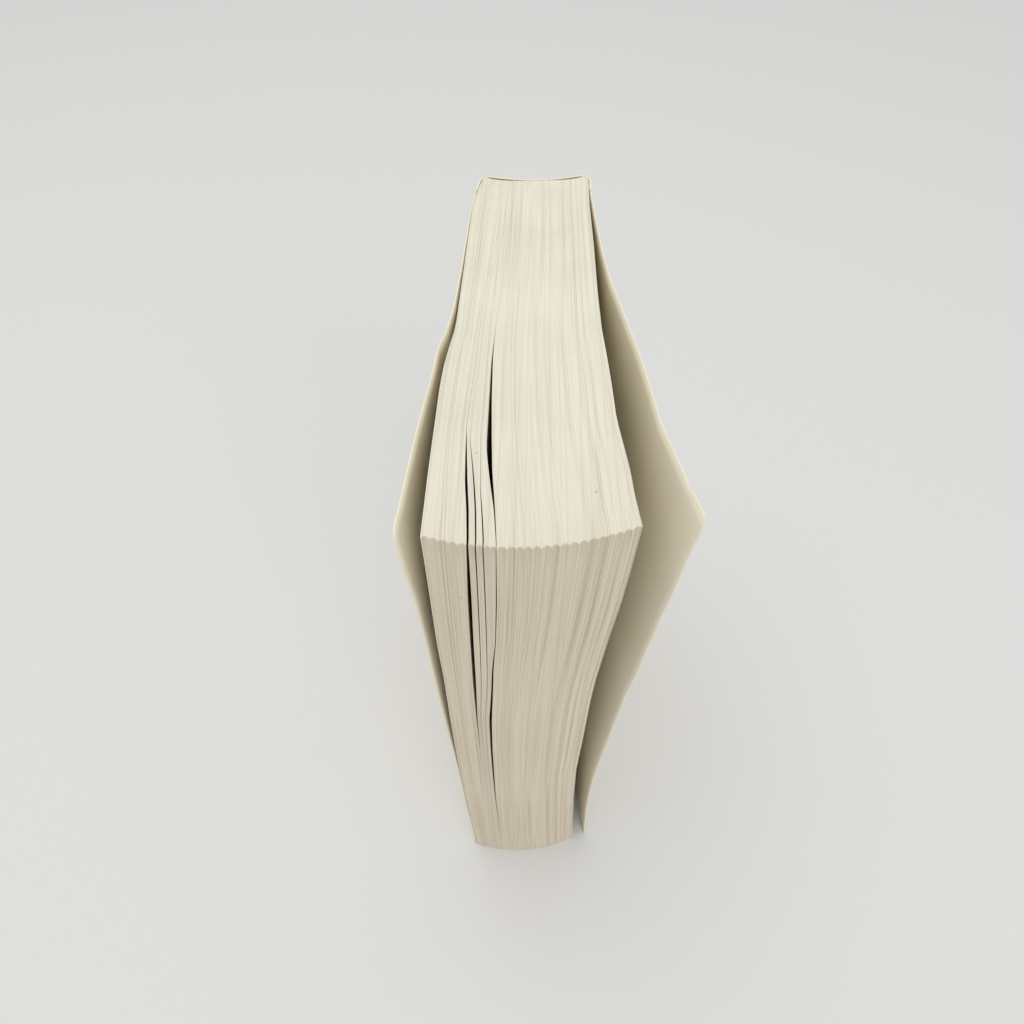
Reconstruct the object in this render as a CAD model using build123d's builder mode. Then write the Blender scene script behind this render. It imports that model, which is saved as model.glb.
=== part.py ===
"""A thick, well-read paperback that stands on its tail, with its spine away along +Y.

The head is up (+Z), the fore-edge faces -Y, the front cover is on the left (-X) and the
back cover on the right (+X). The origin is on the ground under the middle of the pages.
All sizes are in millimetres.

The pages are one solid, hollowed at the spine and swollen at the fore-edge. Glue coats
the spine and the gutter strips. One sheet of card wraps them, and its two covers turn
about the score lines beside the spine.
"""

import os
from math import atan2, cos, sin

from build123d import *

# The trimmed leaves, and the stack that they make
book_height = 178.0
leaf_width = 111.0
spine_thickness = 26.3
spine_centre_x = -0.3
spine_centre_y = 55.9

# The spine has slumped: it slants in plan, and sinks in its middle
spine_slant = 1.4
spine_hollow = 2.5
spine_corner_radius = 1.8
fore_edge_slant = 2.9
fore_edge_bulge = 3.2

# The cover, its glue and its two hinges
card_thickness = 0.32
glue_thickness = 0.25
glued_depth = 6.8
front_splay = 0.9
back_splay = 0.2
hinge_gap = 0.15
hinge_offset = 0.1
front_setback = 0.4
back_setback = 1.6
front_corner_radius = 2.5

# Four levels from tail to head, as shares of the height, and what each measures there
level_shares = (0.0, 0.28, 0.62, 1.0)
fore_edge_thicknesses = (32.9, 31.5, 31.8, 34.7)
fore_edge_centres_x = (0.85, -1.15, -1.6, 0.0)
front_cover_lifts = (0.05, 0.15, 1.3, 4.15)
back_cover_lifts = (3.1, 4.3, 7.7, 10.0)

# How each side swells between the score line and the fore-edge, as shares of its whole
side_stations = (0.0, 0.17, 0.35, 0.50, 0.62, 0.80, 1.0)
front_side_shares = (0.0, 0.20, 0.30, 0.40, 0.90, 1.02, 1.0)
back_side_shares = (0.0, 0.03, 0.04, 0.12, 0.32, 0.60, 1.0)
front_lift_shares = (0.0, 0.03, 0.08, 0.26, 0.40, 0.64, 1.0)
back_lift_shares = (0.0, 0.08, 0.29, 0.50, 0.61, 0.77, 1.0)

# Where the pages have parted at the fore-edge. A parting's run is a list of levels, each
# its height share, where it starts, where it is widest and how wide it is there and at
# the fore-edge. Depths run from 0 at the score line to 1 at the fore-edge.
wide_parting_across = 0.292
wide_parting = (
    (0.28, 0.90, 0.97, 0.05, 0.06),
    (0.62, 0.70, 0.93, 0.40, 0.55),
    (1.01, 0.53, 0.82, 0.90, 0.12),
)
narrow_parting_across = 0.19
narrow_parting = (
    (0.55, 0.93, 0.98, 0.05, 0.06),
    (0.75, 0.85, 0.95, 0.22, 0.30),
    (1.01, 0.78, 0.92, 0.35, 0.45),
)
parting_overrun = 5.0

# Worked out from the sizes above
spine_left = (spine_centre_x - spine_thickness / 2, spine_centre_y - spine_slant / 2)
spine_right = (spine_centre_x + spine_thickness / 2, spine_centre_y + spine_slant / 2)
front_score = (spine_left[0] - front_splay, spine_left[1] - glued_depth)
back_score = (spine_right[0] - back_splay, spine_right[1] - glued_depth)
fore_edge_y = spine_centre_y - leaf_width
cover_stand_off = glue_thickness + card_thickness


def blend(shares, at):
    """The value of a share list at a depth between its stations."""
    for near, far, start, end in zip(side_stations, side_stations[1:], shares, shares[1:]):
        if at <= far:
            return start + (end - start) * (at - near) / (far - near)
    return shares[-1]


def level_value(values, share):
    """The value at a height share, from what is known at the four levels."""
    share = min(max(share, level_shares[0]), level_shares[-1])
    for low, high, start, end in zip(level_shares, level_shares[1:], values, values[1:]):
        if share <= high:
            return start + (end - start) * (share - low) / (high - low)
    return values[-1]


def fore_corner(height_share, side):
    """Where a side of the pages meets the fore-edge: side is -1 for front, 1 for back."""
    thickness = level_value(fore_edge_thicknesses, height_share)
    centre = level_value(fore_edge_centres_x, height_share)
    return (centre + side * thickness / 2, fore_edge_y + side * fore_edge_slant / 2)


def side_point(height_share, side, depth):
    """A point on the outer face of the pages, at a depth share behind the score line."""
    score = front_score if side < 0 else back_score
    shares = front_side_shares if side < 0 else back_side_shares
    corner = fore_corner(height_share, side)
    x = score[0] + (corner[0] - score[0]) * blend(shares, depth)
    y = score[1] + (corner[1] - score[1]) * depth
    return (x, y)


def spine_line():
    """The pages' plan line round the spine: strip, corner, hollow back, corner, strip."""
    slope = atan2(spine_slant, spine_thickness)
    hollow = (
        spine_centre_x + spine_hollow * sin(slope),
        spine_centre_y - spine_hollow * cos(slope),
    )
    with BuildLine() as path:
        Line(back_score, spine_right)
        ThreePointArc(spine_right, hollow, spine_left)
        Line(spine_left, front_score)
        corners = path.vertices().filter_by_position(
            Axis.Y, spine_left[1] - 0.1, spine_right[1] + 0.1
        )
        fillet(corners, spine_corner_radius)
    return path.wire()


def wrap_sketch(inner_stand_off, thickness):
    """A band of the given thickness that follows the spine at a stand-off from the pages."""
    pages = spine_line()
    inner = pages
    if inner_stand_off:
        inner = pages.offset_2d(inner_stand_off, side=Side.RIGHT, closed=False)
    outer = pages.offset_2d(inner_stand_off + thickness, side=Side.RIGHT, closed=False)
    inner_ends = (inner @ 0, inner @ 1)
    outer_ends = (outer @ 0, outer @ 1)
    if (inner_ends[0] - outer_ends[0]).length > (inner_ends[0] - outer_ends[1]).length:
        outer_ends = (outer @ 1, outer @ 0)
    with BuildSketch() as band:
        with BuildLine():
            add(inner)
            add(outer)
            Line(inner_ends[0], outer_ends[0])
            Line(inner_ends[1], outer_ends[1])
        make_face()
    return band.sketch


def parting_solid(across, run):
    """The thin wedge of air where a bundle of pages has come away from the next one."""
    with BuildPart() as wedge:
        for height_share, start, widest, width, mouth in run:
            with BuildSketch(Plane.XY.offset(book_height * height_share)):
                points = []
                for depth in (start, widest, 1.0):
                    front = side_point(height_share, -1, depth)
                    back = side_point(height_share, 1, depth)
                    points.append(
                        (
                            front[0] + (back[0] - front[0]) * across,
                            front[1] + (back[1] - front[1]) * across,
                        )
                    )
                tip, middle, lip = points
                end_y = lip[1] - parting_overrun
                left = [(middle[0] - width / 2, middle[1]), (lip[0] - mouth / 2, end_y)]
                right = [(middle[0] + width / 2, middle[1]), (lip[0] + mouth / 2, end_y)]
                with BuildLine():
                    Spline(tip, *left)
                    Line(left[-1], right[-1])
                    Spline(*reversed(right), tip)
                make_face()
        loft()
    return wedge.part


def cover_panel(side, lifts, lift_shares, setback):
    """A curled card panel from its score line to the fore-edge, on the given side."""
    with BuildPart() as panel:
        for height_share in level_shares:
            lift = level_value(lifts, height_share)
            inner = []
            for depth, lift_share in zip(side_stations, lift_shares):
                x, y = side_point(height_share, side, depth)
                stand_off = glue_thickness + lift * lift_share
                inner.append((x + side * stand_off, y - hinge_gap + setback * depth))
            outer = [(x + side * card_thickness, y) for x, y in inner]
            with BuildSketch(Plane.XY.offset(book_height * height_share)):
                with BuildLine():
                    Spline(*inner)
                    Line(inner[-1], outer[-1])
                    Spline(*reversed(outer))
                    Line(outer[0], inner[0])
                make_face()
        loft()
    return panel.part


# The pages
with BuildPart() as text_block:
    for height_share in level_shares:
        front_side = [side_point(height_share, -1, depth) for depth in side_stations]
        back_side = [side_point(height_share, 1, depth) for depth in side_stations]
        bulge = (
            (front_side[-1][0] + back_side[-1][0]) / 2,
            fore_edge_y - fore_edge_bulge,
        )
        with BuildSketch(Plane.XY.offset(book_height * height_share)):
            with BuildLine():
                add(spine_line())
                Spline(*front_side)
                ThreePointArc(front_side[-1], bulge, back_side[-1])
                Spline(*reversed(back_side))
            make_face()
    loft()
    add(parting_solid(wide_parting_across, wide_parting), mode=Mode.SUBTRACT)
    add(parting_solid(narrow_parting_across, narrow_parting), mode=Mode.SUBTRACT)

# The hot-melt glue on the spine and along both gutters
with BuildPart() as binding_glue:
    add(wrap_sketch(0, glue_thickness))
    extrude(amount=book_height)

# The part of the card that stays glued: the spine and a strip down each side of it
with BuildPart() as spine_cover:
    add(wrap_sketch(glue_thickness, card_thickness))
    extrude(amount=book_height)

# The two covers
with BuildPart() as front_cover:
    add(cover_panel(-1, front_cover_lifts, front_lift_shares, front_setback))
    card_end_y = fore_corner(1.0, -1)[1] + front_setback - hinge_gap
    corner = (card_end_y, book_height)
    round_centre = (card_end_y + front_corner_radius, book_height - front_corner_radius)
    with BuildSketch(Plane.YZ):
        with Locations(corner):
            Rectangle(2 * front_corner_radius, 2 * front_corner_radius)
        with Locations(round_centre):
            Circle(front_corner_radius, mode=Mode.SUBTRACT)
    extrude(amount=spine_thickness + fore_edge_thicknesses[-1], both=True, mode=Mode.SUBTRACT)

with BuildPart() as back_cover:
    add(cover_panel(1, back_cover_lifts, back_lift_shares, back_setback))

text_block.part.label = "text_block"
binding_glue.part.label = "binding_glue"
spine_cover.part.label = "spine_cover"
front_cover.part.label = "front_cover"
back_cover.part.label = "back_cover"

os.makedirs("parts", exist_ok=True)
for piece in (text_block, binding_glue, spine_cover, front_cover, back_cover):
    export_step(piece.part, f"parts/{piece.part.label}.step")

front_hinge = (front_score[0] - cover_stand_off - hinge_offset, front_score[1] - hinge_gap)
back_hinge = (back_score[0] + cover_stand_off + hinge_offset, back_score[1] - hinge_gap)
print("front cover hinge at", front_hinge)
print("back cover hinge at", back_hinge)
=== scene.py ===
"""A thick, well-read paperback that stands on its tail, in a plain studio.

Five bundles of pages stand side by side, with one edge for each leaf. Two curled card covers
run forward from their score lines. The spine card and the glue come from the frame.

Every size below is in millimetres in the book's own frame, and is turned into metres when a
mesh is made. The head is up (+Z), the spine is at +Y and the front cover is at -X.
"""

import math
import random

import bpy
import numpy as np
from mathutils import Matrix, Vector


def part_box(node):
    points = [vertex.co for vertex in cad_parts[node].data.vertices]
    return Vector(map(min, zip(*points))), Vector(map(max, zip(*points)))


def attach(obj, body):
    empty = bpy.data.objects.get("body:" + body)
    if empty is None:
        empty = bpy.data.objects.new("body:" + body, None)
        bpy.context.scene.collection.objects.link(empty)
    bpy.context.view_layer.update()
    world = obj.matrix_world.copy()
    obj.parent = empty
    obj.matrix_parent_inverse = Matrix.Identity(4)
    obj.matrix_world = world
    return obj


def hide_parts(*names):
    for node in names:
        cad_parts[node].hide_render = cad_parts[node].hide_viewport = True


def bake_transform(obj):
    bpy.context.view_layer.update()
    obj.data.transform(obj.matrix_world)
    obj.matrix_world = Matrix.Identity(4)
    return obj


bl_info = {
    "name": "Paperback book",
    "version": (1, 0, 0),
    "blender": (4, 5, 0),
    "location": "3D View > Sidebar > Book",
    "description": "Builds a worn paperback that stands on its tail",
    "category": "Object",
}

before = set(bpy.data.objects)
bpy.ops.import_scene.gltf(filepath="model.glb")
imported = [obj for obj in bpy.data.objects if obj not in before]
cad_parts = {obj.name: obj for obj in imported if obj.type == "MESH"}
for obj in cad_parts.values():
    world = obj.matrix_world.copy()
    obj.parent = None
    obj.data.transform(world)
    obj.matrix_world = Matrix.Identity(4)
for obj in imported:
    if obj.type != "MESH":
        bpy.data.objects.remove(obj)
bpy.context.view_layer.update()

MM = 0.001
HEAD_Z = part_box("text_block")[1].z / MM

# The back of the pages: where the spine starts and ends, and how far its middle has sunk
SPINE_LEFT = (-13.3, 55.2)
SPINE_RIGHT = (12.7, 56.6)
SPINE_HOLLOW = 2.4

# The fore-edge in plan: how far forward its middle is, how far its ends fall back, its slant
FORE_MIDDLE_Y = -58.2
FORE_FALL = 3.2
FORE_SLANT = 1.45

# How far back the spine is, and how deep the book is from there to its fore-edge
SPINE_Y = 55.9
SPINE_END_Y = 55.0
BOOK_DEPTH = 113.0

# Each line that parts the pages: its plan line at the head as (y, x) from the fore-edge to
# the spine, and its line on the fore-edge as (z, x) from the tail to the head
LEFT_SIDE = (
    [(-56.2, -17.4), (-42, -17.5), (-21.6, -17.4), (-15.8, -17.1), (-11, -16.6), (-5, -15.8),
     (11, -15.6), (27, -15.4), (40, -15.2), (48, -14.5), (55, -13.3)],
    [(0, -15.6), (23, -16.1), (40, -16.7), (59, -17.0), (79, -17.4), (104, -17.5),
     (128, -17.4), (143, -17.6), (178, -17.3)],
)
FIRST_GAP_LEFT = (
    [(-57, -10.15), (-51, -10.6), (-45, -11.25), (-38, -11.6), (-33, -11.8), (0, -10.8),
     (55, -8.5)],
    [(0, -10.0), (40, -10.7), (90, -11.15), (112, -11.3), (130, -11.3), (147, -11.05),
     (161, -10.8), (178, -10.15)],
)
FIRST_GAP_RIGHT = (
    [(-57, -9.8), (-51, -10.2), (-45, -10.8), (-38, -11.35), (-33, -11.75), (0, -10.77),
     (55, -8.47)],
    [(0, -9.97), (40, -10.66), (90, -11.1), (112, -11.0), (130, -10.6), (147, -10.35),
     (161, -10.05), (178, -9.8)],
)
SECOND_GAP_LEFT = (
    [(-57, -8.85), (-51, -9.25), (-45, -9.85), (-40, -10.45), (-35, -11.05), (0, -10.1),
     (55, -7.8)],
    [(0, -9.3), (40, -10.0), (90, -10.4), (112, -10.3), (130, -9.55), (145, -9.25),
     (160, -9.05), (178, -8.85)],
)
SECOND_GAP_RIGHT = (
    [(-57, -8.6), (-51, -9.0), (-45, -9.65), (-40, -10.32), (-35, -11.02), (0, -10.07),
     (55, -7.77)],
    [(0, -9.27), (40, -9.96), (90, -10.35), (112, -10.2), (130, -9.42), (145, -9.1),
     (160, -8.85), (178, -8.6)],
)
THIRD_GAP_LEFT = (
    [(-57, -7.65), (-51, -8.2), (-47, -8.6), (-35, -9.2), (0, -9.0), (55, -6.7)],
    [(0, -8.5), (40, -9.2), (90, -9.5), (112, -9.3), (130, -8.3), (145, -8.0),
     (160, -7.8), (178, -7.65)],
)
THIRD_GAP_RIGHT = (
    [(-57, -7.45), (-51, -8.02), (-47, -8.52), (-35, -9.17), (0, -8.97), (55, -6.67)],
    [(0, -8.46), (40, -9.15), (90, -9.45), (112, -9.25), (130, -8.2), (145, -7.85),
     (160, -7.62), (178, -7.45)],
)
WIDE_GAP_LEFT = (
    [(-57.6, -5.55), (-51, -6.2), (-45, -7.1), (-39, -7.9), (-35.7, -8.1), (-14.6, -8.2),
     (-7, -7.9), (20, -6.8), (55, -5.8)],
    [(0, -6.65), (21, -7.3), (56, -8.2), (81, -8.5), (94, -8.5), (110, -8.4), (125, -7.6),
     (137, -7.1), (147, -6.3), (161, -5.9), (178, -5.55)],
)
WIDE_GAP_RIGHT = (
    [(-57.6, -5.45), (-49, -6.15), (-42.6, -6.8), (-35.6, -7.2), (-25.6, -7.65), (-14, -7.95),
     (-7, -7.87), (20, -6.77), (55, -5.77)],
    [(0, -6.6), (21, -7.2), (56, -7.95), (81, -8.0), (94, -8.0), (110, -7.8), (125, -7.2),
     (137, -6.8), (147, -6.15), (161, -5.7), (178, -5.45)],
)
RIGHT_SIDE = (
    [(-53.5, 17.3), (-47.7, 16.6), (-41.7, 16.2), (-35.4, 15.4), (-29.8, 14.7), (-20.2, 14.3),
     (-11.7, 13.8), (-5.4, 13.3), (7.2, 13.0), (25.5, 12.9), (41.7, 12.6), (50, 12.7),
     (56, 12.7)],
    [(0, 17.2), (23, 15.9), (45, 14.8), (67, 14.0), (87, 14.2), (113, 14.3), (124, 14.6),
     (143, 15.7), (155, 16.6), (168, 17.1), (178, 17.3)],
)

# The bundles of pages between those lines, and the leaves in each
BUNDLES = (
    ("front_pages", LEFT_SIDE, FIRST_GAP_LEFT, 82),
    ("loose_pages_1", FIRST_GAP_RIGHT, SECOND_GAP_LEFT, 12),
    ("loose_pages_2", SECOND_GAP_RIGHT, THIRD_GAP_LEFT, 12),
    ("loose_pages_3", THIRD_GAP_RIGHT, WIDE_GAP_LEFT, 24),
    ("back_pages", WIDE_GAP_RIGHT, RIGHT_SIDE, 254),
)

# The outer faces of the two covers: (y, x) at the head, from the fore-edge to the score
# line, and (z, x) at the fore-edge, from the tail to the head
FRONT_COVER_OUTER = (
    [(-56.3, -22.0), (-51, -21.6), (-43.7, -21.2), (-35, -20.7), (-26, -20.0), (-17.2, -19.2),
     (-11, -18.9), (-5.7, -17.7), (2.2, -16.8), (18.3, -16.2), (36.6, -15.75), (48.4, -14.92)],
    [(0, -16.25), (23, -16.75), (40, -17.3), (56, -17.6), (74, -18.1), (93, -18.8),
     (123, -19.7), (140, -20.1), (154, -20.5), (166, -21.2), (178, -22.0)],
)
BACK_COVER_OUTER = (
    [(-51.9, 27.8), (-45.3, 26.1), (-37.9, 24.3), (-30.7, 22.7), (-23.1, 21.8), (-17.5, 21.1),
     (-10.8, 20.2), (-3, 18.8), (6.8, 17.1), (12.2, 16.1), (24.5, 14.8), (41.7, 13.7),
     (49.8, 13.22)],
    [(0, 21.0), (28, 19.9), (50, 19.6), (65, 20.0), (82, 21.0), (111, 22.6), (126, 23.9),
     (136, 24.4), (149, 25.5), (164, 26.7), (178, 27.8)],
)
FRONT_SCORE_Y, BACK_SCORE_Y = 48.4, 49.8

# The card: its thickness, the room it leaves to the pages, its round corner, the width of
# the bend at a score line, and the nick in the back cover's head edge
CARD_THICKNESS = 0.32
CARD_CLEARANCE = 0.12
CORNER_RADIUS = 2.5
NICK_Y, NICK_REACH, NICK_DEPTH = -45.3, 0.8, 0.7

# How the worn card strays: the fray of its fore-edge in long and short waves, the waver of
# its face and the waver of its head edge
LONG_FRAY, SHORT_FRAY = 0.10, 0.06
FACE_WAVER, HEAD_WAVER = 0.05, 0.05

# How finely the bundles are divided along the head and tail, and down the fore-edge, and how
# much closer together the stations stand towards the corner between the two
HEAD_STATIONS = 40
FORE_STATIONS = 44
HEAD_CROWDING = 1.8
FORE_CROWDING = 1.5
LOWEST_STATION = 0.9975

# How finely a cover is divided, from score line to fore-edge and from tail to head
COVER_STATIONS = (64, 72)

# A leaf's own edge, and how its section's ribs and tips shape it
LEAF_MARGIN = 0.12
LEAVES_A_SECTION = 16
RIB_SHARPNESS = 2.4
RIB_AT_SPINE = 0.16
RIB_LEVEL, TIP_LEVEL = 0.35, 0.3
TIP_FADE_DOWN, TIP_FADE_BACK = 4.0, 3.0
FORE_RIB, TAIL_RIB, TAIL_CLEARANCE = 0.09, 0.03, 0.04
SEED = 11

# The camera: where it stands, how it is turned in degrees, and its lens
CAMERA_PLACE = (-0.975, -124.48, 270.24)
CAMERA_YAW, CAMERA_PITCH, CAMERA_ROLL = 1.79, 51.61, -0.235
LENS, SENSOR = 25.92, 36.0

# The lamps: name, place and side in metres, and power in watts; then the sky's strength
LAMPS = (
    ("top_lamp", (-0.25, 0.10, 1.3), 0.9, 3.6),
    ("front_lamp", (0.5, -1.2, 0.9), 0.9, 3.8),
)
LAMP_AIM = (0, 0, 0.09)
SKY_STRENGTH = 0.78
FLOOR_REACH = 6000.0

# Colours that go with the ones a user may change
LEAF_SHADE = 0.86
STREAK_COLOUR = (0.40, 0.34, 0.22)
SPECK_COLOUR = (0.16, 0.12, 0.08)
WORN_CARD = (0.86, 0.80, 0.64)
PALE_GLUE = (0.62, 0.48, 0.28)
BURNT_GLUE = (0.25, 0.15, 0.07)
FLOOR_SHADE = 0.97


class BookSizes(bpy.types.PropertyGroup):
    """Sizes of the worn edges, which a user may change."""

    rib_height: bpy.props.FloatProperty(
        name="Rib height",
        description="How far the section ribs stand up on the head, at the fore-edge",
        default=0.20 * MM, unit="LENGTH",
    )
    tip_length: bpy.props.FloatProperty(
        name="Tip length",
        description="How far the section tips jut over the fore-edge at the head",
        default=0.55 * MM, unit="LENGTH",
    )
    leaf_unevenness: bpy.props.FloatProperty(
        name="Leaf unevenness",
        description="How much each leaf stands out from the next",
        default=0.03 * MM, unit="LENGTH",
    )


class BookColours(bpy.types.PropertyGroup):
    """Colours of the paper, card, glue and floor."""

    paper: bpy.props.FloatVectorProperty(
        name="Paper", description="Clean trimmed paper", subtype="COLOR", size=3,
        default=(0.82, 0.795, 0.675),
    )
    toned_paper: bpy.props.FloatVectorProperty(
        name="Toned paper", description="Paper browned by light at the fore-edge",
        subtype="COLOR", size=3, default=(0.70, 0.625, 0.50),
    )
    card: bpy.props.FloatVectorProperty(
        name="Card", description="The cover card", subtype="COLOR", size=3,
        default=(0.87, 0.82, 0.68),
    )
    # Toned card: the colour the covers darken to near the spine, partly real browning and partly
    # painted shade beside the pages
    toned_and_shaded_card: bpy.props.FloatVectorProperty(
        name="Toned card", description="The cover card where it has browned",
        subtype="COLOR", size=3, default=(0.84, 0.76, 0.54),
    )
    glue: bpy.props.FloatVectorProperty(
        name="Glue", description="Dried binding glue", subtype="COLOR", size=3,
        default=(0.34, 0.22, 0.10),
    )
    floor: bpy.props.FloatVectorProperty(
        name="Floor", description="The studio floor", subtype="COLOR", size=3,
        default=(0.72, 0.72, 0.71),
    )


def along(points, at):
    """The value of a line given as (place, value) points, at the given places."""
    places, values = zip(*points)
    return np.interp(at, places, values)


def depth_share(y):
    """0 at the spine and 1 at the fore-edge."""
    return np.clip((SPINE_Y - y) / BOOK_DEPTH, 0, 1)


def line_x(line, y, z, power=2.0):
    """Where a parting line or cover face is across the book, at a depth y and a height z."""
    head, fore = line
    shift = along(fore, z) - along(fore, HEAD_Z)
    return along(head, y) + shift * depth_share(y) ** power


def spine_y(x):
    """The sunken back of the pages."""
    share = (x - SPINE_LEFT[0]) / (SPINE_RIGHT[0] - SPINE_LEFT[0])
    flat = SPINE_LEFT[1] + share * (SPINE_RIGHT[1] - SPINE_LEFT[1])
    return flat - SPINE_HOLLOW * (1 - (2 * share - 1) ** 4)


def fore_y(x, z):
    """The bowed fore-edge."""
    left, right = along(LEFT_SIDE[1], z), along(RIGHT_SIDE[1], z)
    across = (2 * x - left - right) / (right - left)
    return FORE_MIDDLE_Y + FORE_FALL * across**2 + FORE_SLANT * across


def page_point(left, right, share, depth, z):
    """A point in a bundle: share runs from its left line to its right, depth from the spine."""
    back_left, back_right = line_x(left, SPINE_END_Y, z), line_x(right, SPINE_END_Y, z)
    back = spine_y(back_left * (1 - share) + back_right * share)
    lip = along(left[1], z) * (1 - share) + along(right[1], z) * share
    y = back + (fore_y(lip, z) - back) * depth
    x = line_x(left, y, z) * (1 - share) + line_x(right, y, z) * share
    return x, y


def new_piece(name, points, faces, material, smooth=True):
    """A mesh object from points in millimetres."""
    mesh = bpy.data.meshes.new(name)
    mesh.from_pydata((points * MM).tolist(), [], faces)
    mesh.polygons.foreach_set("use_smooth", [smooth] * len(mesh.polygons))
    mesh.materials.append(material)
    mesh.update()
    piece = bpy.data.objects.new(name, mesh)
    bpy.context.scene.collection.objects.link(piece)
    return piece


def add_values(piece, name, values):
    """Stores one number a vertex, for the material to read."""
    attribute = piece.data.attributes.new(name, "FLOAT", "POINT")
    attribute.data.foreach_set("value", np.asarray(values, np.float32).ravel())


def ring_stations():
    """Stations along the head, stations down the fore-edge, and the ring that they make.

    The ring goes round a leaf by the head, the fore-edge, the tail and the spine. It comes
    as a depth and a height, both from 0 to 1, for each of its stations.
    """
    run = 1 - (1 - np.linspace(0, 1, HEAD_STATIONS)) ** HEAD_CROWDING
    drop = np.linspace(0, 1, FORE_STATIONS + 2)[1:-1] ** FORE_CROWDING
    drop = drop / drop[-1] * LOWEST_STATION
    depth = np.concatenate([run, np.ones(FORE_STATIONS), run[::-1], np.zeros(FORE_STATIONS)])
    height = np.concatenate(
        [np.ones(HEAD_STATIONS), 1 - drop, np.zeros(HEAD_STATIONS), (1 - drop)[::-1]]
    )
    return run, drop, depth, height


def rib_profile(leaves, chance):
    """For each edge of each leaf, how near it is to its section's tip: 0 is midway."""
    sections = max(1, round(leaves / LEAVES_A_SECTION))
    bounds = [0.0]
    for _ in range(sections):
        bounds.append(bounds[-1] + chance.uniform(0.8, 1.2))
    bounds = np.array(bounds) / bounds[-1] * leaves
    strengths = [chance.uniform(0.65, 1.25) for _ in bounds]
    profile = np.zeros(2 * leaves)
    for column in range(2 * leaves):
        place = (column + 0.5) / 2
        k = min(int(np.searchsorted(bounds, place, side="right")) - 1, sections - 1)
        t = (place - bounds[k]) / (bounds[k + 1] - bounds[k])
        strength = strengths[k] * (1 - t) + strengths[k + 1] * t
        profile[column] = strength * abs(2 * t - 1) ** RIB_SHARPNESS
    return profile


def edge_shares(leaves):
    """How far across its bundle each leaf's two edges are."""
    share = [(leaf + margin) / leaves
             for leaf in range(leaves) for margin in (LEAF_MARGIN, 1 - LEAF_MARGIN)]
    share[0], share[-1] = 0.0, 1.0
    return np.array(share)


def ring_faces(columns, ring):
    """The faces that join each leaf edge's ring to the next one."""
    faces = []
    for i in range(columns - 1):
        for k in range(ring):
            after = (k + 1) % ring
            faces.append((i * ring + k, i * ring + after,
                          (i + 1) * ring + after, (i + 1) * ring + k))
    return faces


def side_faces(ring_start, inner_start, flip):
    """The faces of an outermost leaf: a grid whose border is its ring."""
    lowest = FORE_STATIONS + 1
    furthest = HEAD_STATIONS - 1

    def corner(j, k):
        if k == 0:
            return ring_start + j
        if k == lowest:
            return ring_start + HEAD_STATIONS + FORE_STATIONS + furthest - j
        if j == furthest:
            return ring_start + HEAD_STATIONS + k - 1
        if j == 0:
            return ring_start + 2 * HEAD_STATIONS + 2 * FORE_STATIONS - k
        return inner_start + (j - 1) * FORE_STATIONS + k - 1

    faces = []
    for j in range(furthest):
        for k in range(lowest):
            face = (corner(j, k), corner(j, k + 1), corner(j + 1, k + 1), corner(j + 1, k))
            faces.append(face[::-1] if flip else face)
    return faces


def build_bundle(name, left, right, leaves, material, sizes, chance):
    """A closed bundle of pages with every leaf's edge, its ribs and its tips."""
    rib, tip, uneven = (size / MM for size in
                        (sizes.rib_height, sizes.tip_length, sizes.leaf_unevenness))
    run, drop, depth, height = ring_stations()
    columns, ring = 2 * leaves, len(depth)
    share = edge_shares(leaves)
    z = np.repeat((height * HEAD_Z)[None, :], columns, 0)
    fore = np.repeat(depth[None, :], columns, 0)
    x, y = page_point(left, right, np.repeat(share[:, None], ring, 1), fore, z)

    # Ribs and tips come from the section, and small steps from each leaf
    profile = rib_profile(leaves, chance)[:, None]
    leaf = np.repeat([chance.gauss(0, uneven) for _ in range(leaves)], 2)[:, None]
    sway = np.repeat([chance.gauss(0, uneven) for _ in range(leaves)], 2)[:, None]
    rib_strength = RIB_AT_SPINE + (1 - RIB_AT_SPINE) * fore**3
    near_head = np.exp(-(HEAD_Z - z) / TIP_FADE_DOWN)
    near_head = near_head * np.exp(-(1 - fore) * BOOK_DEPTH / TIP_FADE_BACK)
    on_head = height[None, :] > 0.9999
    on_tail = height[None, :] < 0.0001
    on_fore = (depth[None, :] > 0.9999) & ~on_tail

    z = z + on_head * (rib * rib_strength * (profile - RIB_LEVEL) + leaf + sway * np.sin(fore * 7))
    z = z + on_tail * (TAIL_CLEARANCE + np.abs(leaf) * 0.5 + TAIL_RIB * profile)
    y = y - (on_fore | on_head) * tip * near_head * (profile - TIP_LEVEL)
    y = y - on_fore * (FORE_RIB * profile + leaf * 1.2 + sway * np.sin(height[None, :] * 9))
    ring_points = np.stack([x, y, z], -1).reshape(-1, 3)

    # The outermost leaf on each side closes the bundle
    points, faces = [ring_points], ring_faces(columns, ring)
    inner_start = len(ring_points)
    inner_depth, inner_z = np.meshgrid(run[1:-1], (1 - drop) * HEAD_Z, indexing="ij")
    for column, flip in ((0, False), (columns - 1, True)):
        side_share = np.full_like(inner_z, share[column])
        side_x, side_y = page_point(left, right, side_share, inner_depth, inner_z)
        points.append(np.stack([side_x, side_y, inner_z], -1).reshape(-1, 3))
        faces += side_faces(column * ring, inner_start, flip)
        inner_start += inner_z.size
    points = np.concatenate(points)
    piece = new_piece(name, points, faces, material, smooth=False)

    # The fore-edge has browned, the tail less, and the head only beside the fore-edge
    on_sides = np.full(len(points) - len(ring_points), 0.5)
    tone = np.repeat(np.clip(0.5 + 0.25 * leaf / max(uneven, 1e-6), 0, 1), ring, 1)
    browned = np.where(on_fore & ~on_head, 1.0, 0.0) * np.ones_like(x)
    browned = np.maximum(browned, on_tail * 0.6)
    browned = np.maximum(browned, on_head * 0.22 * fore**4)
    add_values(piece, "leaf_tone", np.concatenate([tone.ravel(), on_sides]))
    add_values(piece, "browning", np.concatenate([browned.ravel(), on_sides]))
    return piece


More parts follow.
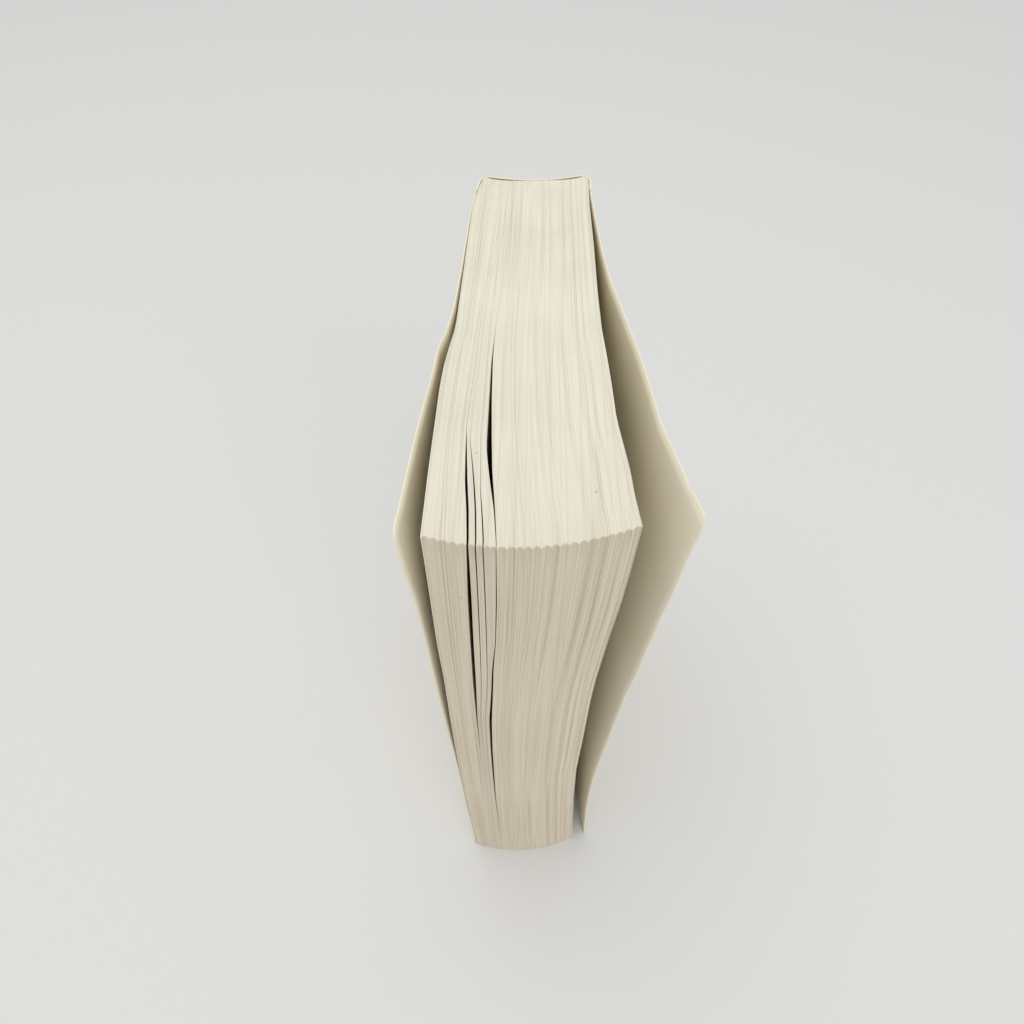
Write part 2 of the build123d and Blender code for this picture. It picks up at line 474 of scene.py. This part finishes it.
def round_corner(y, z, lip_y):
    """Draws a cover's points in to a round corner at its head and fore-edge."""
    from_lip, from_head = y - lip_y, HEAD_Z - z
    in_corner = (from_lip < CORNER_RADIUS) & (from_head < CORNER_RADIUS)
    reach = np.hypot(CORNER_RADIUS - from_lip, CORNER_RADIUS - from_head)
    pull = np.where(in_corner & (reach > CORNER_RADIUS), CORNER_RADIUS / reach, 1.0)
    round_y = lip_y + CORNER_RADIUS - (CORNER_RADIUS - from_lip) * pull
    round_z = HEAD_Z - CORNER_RADIUS + (CORNER_RADIUS - from_head) * pull
    return np.where(in_corner, round_y, y), np.where(in_corner, round_z, z)


def sheet_faces(deep, tall, side):
    """The outer face, inner face and cut edges of a card, whose inner points come last."""
    half = deep * tall
    faces = []
    for j in range(deep - 1):
        for k in range(tall - 1):
            a, b = j * tall + k, (j + 1) * tall + k
            outer = (a, b, b + 1, a + 1)
            inner = tuple(half + v for v in outer)
            faces += [outer[::-1], inner] if side > 0 else [outer, inner[::-1]]
    rim = [(j, 0) for j in range(deep)]
    rim += [(deep - 1, k) for k in range(1, tall)]
    rim += [(j, tall - 1) for j in range(deep - 2, -1, -1)]
    rim += [(0, k) for k in range(tall - 2, 0, -1)]
    loop = [j * tall + k for j, k in rim]
    for here, after in zip(loop, loop[1:] + loop[:1]):
        edge = (here, half + here, half + after, after)
        faces.append(edge if side < 0 else edge[::-1])
    return faces


def cover_sheet(name, side, line, score_y, material, chance):
    """A curled cover card with its cut edges, from the score line to the fore-edge."""
    deep, tall = COVER_STATIONS
    depth, height = np.meshgrid(np.linspace(0, 1, deep), np.linspace(0, 1, tall), indexing="ij")
    lip_y = min(place for place, _ in line[0])
    phase = [chance.uniform(0, 6.28) for _ in range(4)]
    z = height * HEAD_Z
    fray = LONG_FRAY * np.sin(z * 0.35 + phase[0]) + SHORT_FRAY * np.sin(z * 1.1 + phase[1])
    y = score_y + (lip_y - score_y) * depth + fray * depth**8

    # The card keeps clear of the pages, and eases onto the spine card at the score line
    outer = line_x(line, y, z, 1.5)
    pages = line_x(LEFT_SIDE if side < 0 else RIGHT_SIDE, y, z)
    room = CARD_THICKNESS + CARD_CLEARANCE
    ease = np.clip(depth / 0.06, 0, 1)
    pressed = np.minimum(outer, pages - room) if side < 0 else np.maximum(outer, pages + room)
    outer = outer * (1 - ease) + pressed * ease
    outer = outer + side * FACE_WAVER * np.sin(z * 0.09 + phase[2]) * depth**2
    on_head = height > 0.999
    if side < 0:
        y, z = round_corner(y, z, lip_y)
    else:
        z = z - NICK_DEPTH * np.exp(-(((y - NICK_Y) / NICK_REACH) ** 2)) * on_head
    z = z + on_head * HEAD_WAVER * (np.sin(y * 1.3 + phase[3]) - 1)
    inner = outer - side * CARD_THICKNESS
    points = np.concatenate([np.stack([face, y, z], -1).reshape(-1, 3) for face in (outer, inner)])
    piece = new_piece(name, points, sheet_faces(deep, tall, side), material)

    # The cut edges are worn pale. Towards its score line the card darkens, most on its inner face:
    # partly real browning, partly painted shade where the cover meets the pages
    edges = (depth > 0.995) | (height > 0.995) | (height < 0.005)
    add_values(piece, "edge_wear", np.concatenate([edges.ravel(), edges.ravel()]))
    shade = np.clip(1.15 - 1.2 * depth, 0, 1)
    add_values(piece, "browning", np.concatenate([0.3 * shade.ravel(), shade.ravel()]))
    return piece


def new_group(name, inputs, outputs):
    """A shader node group with named inputs, as (name, type, default), and outputs."""
    group = bpy.data.node_groups.new(name, "ShaderNodeTree")
    for label, kind, default in inputs:
        made = group.interface.new_socket(name=label, in_out="INPUT", socket_type=kind)
        made.default_value = default
    for label, kind in outputs:
        group.interface.new_socket(name=label, in_out="OUTPUT", socket_type=kind)
    nodes = group.nodes
    return group, nodes, group.links, nodes.new("NodeGroupInput"), nodes.new("NodeGroupOutput")


def noise_node(nodes, links, place, scale, detail):
    """Noise of a scale and detail, at the places that a socket gives."""
    noise = nodes.new("ShaderNodeTexNoise")
    noise.inputs["Scale"].default_value = scale
    noise.inputs["Detail"].default_value = detail
    links.new(place, noise.inputs["Vector"])
    return noise.outputs["Fac"]


def math_node(nodes, links, operation, value, by):
    """One sum: value is a socket, and by a socket or a number."""
    node = nodes.new("ShaderNodeMath")
    node.operation = operation
    links.new(value, node.inputs[0])
    if isinstance(by, float):
        node.inputs[1].default_value = by
    else:
        links.new(by, node.inputs[1])
    return node


def mix_node(nodes, links, factor, first, second):
    """Goes from one colour to another. Each colour is a socket or three numbers."""
    mix = nodes.new("ShaderNodeMix")
    mix.data_type = "RGBA"
    links.new(factor, mix.inputs["Factor"])
    for label, colour in (("A", first), ("B", second)):
        if isinstance(colour, bpy.types.NodeSocket):
            links.new(colour, mix.inputs[label])
        else:
            mix.inputs[label].default_value = (*colour, 1)
    return mix.outputs["Result"]


def range_node(nodes, links, value, low, high, top=1.0):
    """Spreads the values between low and high over 0 to top."""
    spread = nodes.new("ShaderNodeMapRange")
    spread.inputs["From Min"].default_value = low
    spread.inputs["From Max"].default_value = high
    spread.inputs["To Max"].default_value = top
    links.new(value, spread.inputs["Value"])
    return spread.outputs["Result"]


def fibre_group():
    """Paper and card fibre: mottles a colour, specks it and gives the height of the grain."""
    inputs = (
        ("Colour", "NodeSocketColor", (0.8, 0.8, 0.8, 1)),
        ("Stain", "NodeSocketColor", (0.5, 0.4, 0.3, 1)),
        ("Mottle", "NodeSocketFloat", 0.2),
        ("Specks", "NodeSocketFloat", 0.5),
    )
    outputs = (("Colour", "NodeSocketColor"), ("Height", "NodeSocketFloat"))
    group, nodes, links, start, end = new_group("Fibre mottle", inputs, outputs)
    place = nodes.new("ShaderNodeTexCoord").outputs["Object"]
    cloud = range_node(nodes, links, noise_node(nodes, links, place, 90.0, 6.0), 0.42, 0.75)
    amount = math_node(nodes, links, "MULTIPLY", cloud, start.outputs["Mottle"]).outputs[0]
    mottled = mix_node(nodes, links, amount, start.outputs["Colour"], start.outputs["Stain"])
    cells = nodes.new("ShaderNodeTexVoronoi")
    cells.inputs["Scale"].default_value = 130.0
    links.new(place, cells.inputs["Vector"])
    dot = math_node(nodes, links, "LESS_THAN", cells.outputs["Distance"], 0.035).outputs[0]
    few = math_node(nodes, links, "MULTIPLY", dot, start.outputs["Specks"]).outputs[0]
    specked = mix_node(nodes, links, few, mottled, SPECK_COLOUR)
    links.new(specked, end.inputs["Colour"])
    links.new(noise_node(nodes, links, place, 2500.0, 3.0), end.inputs["Height"])
    return group


def streak_group():
    """Fine and broad lines that run along the leaves, on the head as on the fore-edge."""
    inputs = (
        ("Colour", "NodeSocketColor", (0.8, 0.8, 0.8, 1)),
        ("Dark", "NodeSocketColor", (0.4, 0.33, 0.2, 1)),
        ("Amount", "NodeSocketFloat", 0.5),
    )
    outputs = (("Colour", "NodeSocketColor"),)
    group, nodes, links, start, end = new_group("Leaf streaks", inputs, outputs)
    place = nodes.new("ShaderNodeTexCoord").outputs["Object"]
    colour = start.outputs["Colour"]
    for scale, low, high, top in (
        ((5200, 26, 26), 0.60, 0.80, 0.9),
        ((1500, 12, 12), 0.50, 0.80, 0.5),
    ):
        stretch = nodes.new("ShaderNodeMapping")
        stretch.inputs["Scale"].default_value = scale
        links.new(place, stretch.inputs["Vector"])
        lines = noise_node(nodes, links, stretch.outputs["Vector"], 1.0, 3.0)
        picked = range_node(nodes, links, lines, low, high, top)
        amount = math_node(nodes, links, "MULTIPLY", picked, start.outputs["Amount"]).outputs[0]
        colour = mix_node(nodes, links, amount, colour, start.outputs["Dark"])
    links.new(colour, end.inputs["Colour"])
    return group


def group_node(material, maker, name):
    """Places a shared effect in a material, and builds it the first time."""
    tree = bpy.data.node_groups.get(name) or maker()
    node = material.node_tree.nodes.new("ShaderNodeGroup")
    node.node_tree = tree
    return node


def new_material(name, roughness):
    """A matt material, with its nodes, its links and its shader."""
    material = bpy.data.materials.new(name)
    material.use_nodes = True
    shader = material.node_tree.nodes["Principled BSDF"]
    shader.inputs["Roughness"].default_value = roughness
    shader.inputs["Specular IOR Level"].default_value = 0.25
    return material, material.node_tree.nodes, material.node_tree.links, shader


def toned(nodes, links, clean, brown, attribute, gain=1.0):
    """A colour that goes from clean to brown with a value stored on the mesh."""
    stored = nodes.new("ShaderNodeAttribute")
    stored.attribute_name = attribute
    share = math_node(nodes, links, "MULTIPLY", stored.outputs["Fac"], gain)
    share.use_clamp = True
    return mix_node(nodes, links, share.outputs[0], clean, brown)


def finish_material(made, colour, stain, mottle, specks, bump):
    """Adds the fibre to a material's colour and surface, and gives the material back."""
    material, nodes, links, shader = made
    fibre = group_node(material, fibre_group, "Fibre mottle")
    links.new(colour, fibre.inputs["Colour"])
    fibre.inputs["Stain"].default_value = (*stain, 1)
    fibre.inputs["Mottle"].default_value = mottle
    fibre.inputs["Specks"].default_value = specks
    links.new(fibre.outputs["Colour"], shader.inputs["Base Color"])
    raised = nodes.new("ShaderNodeBump")
    raised.inputs["Strength"].default_value = bump
    raised.inputs["Distance"].default_value = 0.04 * MM
    links.new(fibre.outputs["Height"], raised.inputs["Height"])
    links.new(raised.outputs["Normal"], shader.inputs["Normal"])
    return material


def paper_material(colours):
    """Aged paper, with a tone for each leaf and lines along the leaves."""
    made = material, nodes, links, _ = new_material("Aged paper", 0.85)
    colour = toned(nodes, links, colours.paper, colours.toned_paper, "browning")
    darker = tuple(LEAF_SHADE * c for c in colours.paper)
    leafy = toned(nodes, links, colour, darker, "leaf_tone", 0.35)
    streaks = group_node(material, streak_group, "Leaf streaks")
    links.new(leafy, streaks.inputs["Colour"])
    streaks.inputs["Dark"].default_value = (*STREAK_COLOUR, 1)
    streaks.inputs["Amount"].default_value = 0.5
    return finish_material(made, streaks.outputs["Colour"], colours.toned_paper, 0.25, 0.35, 0.5)


def card_material(colours):
    """Cover card, worn pale at its edges and darker inside towards its score line: partly real
    browning, partly painted shade beside the pages.
    """
    made = _, nodes, links, _ = new_material("Worn cover card", 0.6)
    # The stored browning darkens the card near its score line: real browning together with painted
    # shade beside the pages
    colour = toned(nodes, links, colours.card, colours.toned_and_shaded_card, "browning", 0.8)
    worn = toned(nodes, links, colour, WORN_CARD, "edge_wear", 0.7)
    return finish_material(made, worn, colours.toned_and_shaded_card, 0.3, 0.2, 0.35)


def glue_material(colours):
    """Dried glue, blotched pale and brown."""
    made = _, nodes, links, _ = new_material("Dried binding glue", 0.45)
    blotches = nodes.new("ShaderNodeTexNoise")
    blotches.inputs["Scale"].default_value = 400.0
    colour = mix_node(nodes, links, blotches.outputs["Fac"], colours.glue, PALE_GLUE)
    return finish_material(made, colour, BURNT_GLUE, 0.4, 0.0, 0.8)


def floor_material(colours):
    """A plain pale floor, faintly clouded."""
    material, nodes, links, shader = new_material("Studio floor", 0.9)
    clouds = nodes.new("ShaderNodeTexNoise")
    clouds.inputs["Scale"].default_value = 3.0
    shaded = tuple(FLOOR_SHADE * c for c in colours.floor)
    colour = mix_node(nodes, links, clouds.outputs["Fac"], colours.floor, shaded)
    links.new(colour, shader.inputs["Base Color"])
    return material


def shared_material(name, maker):
    """A material made once and used by several pieces."""
    return bpy.data.materials.get(name) or maker(bpy.context.scene.book_colours)


def light_studio(scene):
    """An even sky, and two broad lamps that look at the book."""
    world = bpy.data.worlds.new("Studio")
    world.use_nodes = True
    sky = world.node_tree.nodes["Background"]
    sky.inputs["Color"].default_value = (1, 1, 1, 1)
    sky.inputs["Strength"].default_value = SKY_STRENGTH
    scene.world = world
    for name, place, size, power in LAMPS:
        lamp = bpy.data.lights.new(name, "AREA")
        lamp.size = size
        lamp.energy = power
        holder = bpy.data.objects.new(name, lamp)
        holder.location = place
        aim = Vector(LAMP_AIM) - Vector(place)
        holder.rotation_euler = aim.to_track_quat("-Z", "Y").to_euler()
        scene.collection.objects.link(holder)


def place_camera(scene):
    """The camera looks down on the head and the fore-edge, from just left of the middle."""
    yaw, pitch, roll = (math.radians(a) for a in (CAMERA_YAW, CAMERA_PITCH, CAMERA_ROLL))
    forward = Vector((-math.sin(yaw) * math.cos(pitch), math.cos(yaw) * math.cos(pitch),
                      -math.sin(pitch)))
    right = Vector((math.cos(yaw), math.sin(yaw), 0))
    up = right.cross(forward)
    across = math.cos(roll) * right + math.sin(roll) * up
    above = -math.sin(roll) * right + math.cos(roll) * up
    data = bpy.data.cameras.new("camera")
    data.sensor_width = SENSOR
    data.lens = LENS
    data.clip_start = 0.01
    camera = bpy.data.objects.new("camera", data)
    turn = Matrix((across, above, -forward)).transposed().to_4x4()
    camera.matrix_world = Matrix.Translation(Vector(CAMERA_PLACE) * MM) @ turn
    scene.collection.objects.link(camera)
    scene.camera = camera


class BOOK_OT_pages(bpy.types.Operator):
    """Builds the bundles of pages, leaf by leaf"""

    bl_idname = "book.pages"
    bl_label = "Pages"

    def execute(self, context):
        chance = random.Random(SEED)
        material = shared_material("Aged paper", paper_material)
        for name, left, right, leaves in BUNDLES:
            piece = build_bundle(name, left, right, leaves, material,
                                 context.scene.book_sizes, chance)
            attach(piece, "book")
            if name == "back_pages":
                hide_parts("text_block")
        return {"FINISHED"}


class BOOK_OT_covers(bpy.types.Operator):
    """Builds the two curled covers, from their score lines to the fore-edge"""

    bl_idname = "book.covers"
    bl_label = "Covers"

    def execute(self, context):
        chance = random.Random(SEED + 1)
        material = shared_material("Worn cover card", card_material)
        covers = (
            ("front_cover_card", -1, FRONT_COVER_OUTER, FRONT_SCORE_Y, "front_cover"),
            ("back_cover_card", 1, BACK_COVER_OUTER, BACK_SCORE_Y, "back_cover"),
        )
        for name, side, line, score_y, body in covers:
            piece = cover_sheet(name, side, line, score_y, material, chance)
            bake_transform(piece)
            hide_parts(body)
        return {"FINISHED"}


class BOOK_OT_binding(bpy.types.Operator):
    """Gives the glued spine card and the glue their finishes"""

    bl_idname = "book.binding"
    bl_label = "Binding"

    def execute(self, context):
        finishes = (
            ("spine_cover", shared_material("Worn cover card", card_material)),
            ("binding_glue", shared_material("Dried binding glue", glue_material)),
        )
        for node, material in finishes:
            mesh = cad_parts[node].data
            mesh.materials.clear()
            mesh.materials.append(material)
        return {"FINISHED"}


class BOOK_OT_stage(bpy.types.Operator):
    """Lays the floor and sets the lamps, the sky and the camera"""

    bl_idname = "book.stage"
    bl_label = "Stage"

    def execute(self, context):
        scene = context.scene
        reach = FLOOR_REACH
        corners = [(-reach, -reach, 0), (reach, -reach, 0), (reach, reach, 0), (-reach, reach, 0)]
        material = shared_material("Studio floor", floor_material)
        floor = new_piece("floor", np.array(corners), [(0, 1, 2, 3)], material)
        light_studio(scene)
        place_camera(scene)
        scene.view_settings.view_transform = "Standard"
        return {"FINISHED"}


class BOOK_PT_panel(bpy.types.Panel):
    """Lists the builders of the book"""

    bl_idname = "BOOK_PT_panel"
    bl_label = "Paperback book"
    bl_space_type = "VIEW_3D"
    bl_region_type = "UI"
    bl_category = "Book"

    def draw(self, context):
        scene = context.scene
        for group, kind in ((scene.book_sizes, BookSizes), (scene.book_colours, BookColours)):
            for name in kind.__annotations__:
                self.layout.prop(group, name)
        for builder in OPERATORS:
            self.layout.operator(builder.bl_idname)


OPERATORS = (BOOK_OT_pages, BOOK_OT_covers, BOOK_OT_binding, BOOK_OT_stage)
CLASSES = (BookSizes, BookColours, *OPERATORS, BOOK_PT_panel)


def register():
    """Registers the classes and gives the scene its sizes and colours."""
    for made in CLASSES:
        bpy.utils.register_class(made)
    bpy.types.Scene.book_sizes = bpy.props.PointerProperty(type=BookSizes)
    bpy.types.Scene.book_colours = bpy.props.PointerProperty(type=BookColours)


def unregister():
    """Takes back what register did."""
    del bpy.types.Scene.book_colours
    del bpy.types.Scene.book_sizes
    for made in reversed(CLASSES):
        bpy.utils.unregister_class(made)


def main():
    """Builds the book and its stage."""
    register()
    bpy.ops.book.pages()
    bpy.ops.book.covers()
    bpy.ops.book.binding()
    bpy.ops.book.stage()
    bpy.context.view_layer.update()


if __name__ == "__main__":
    main()
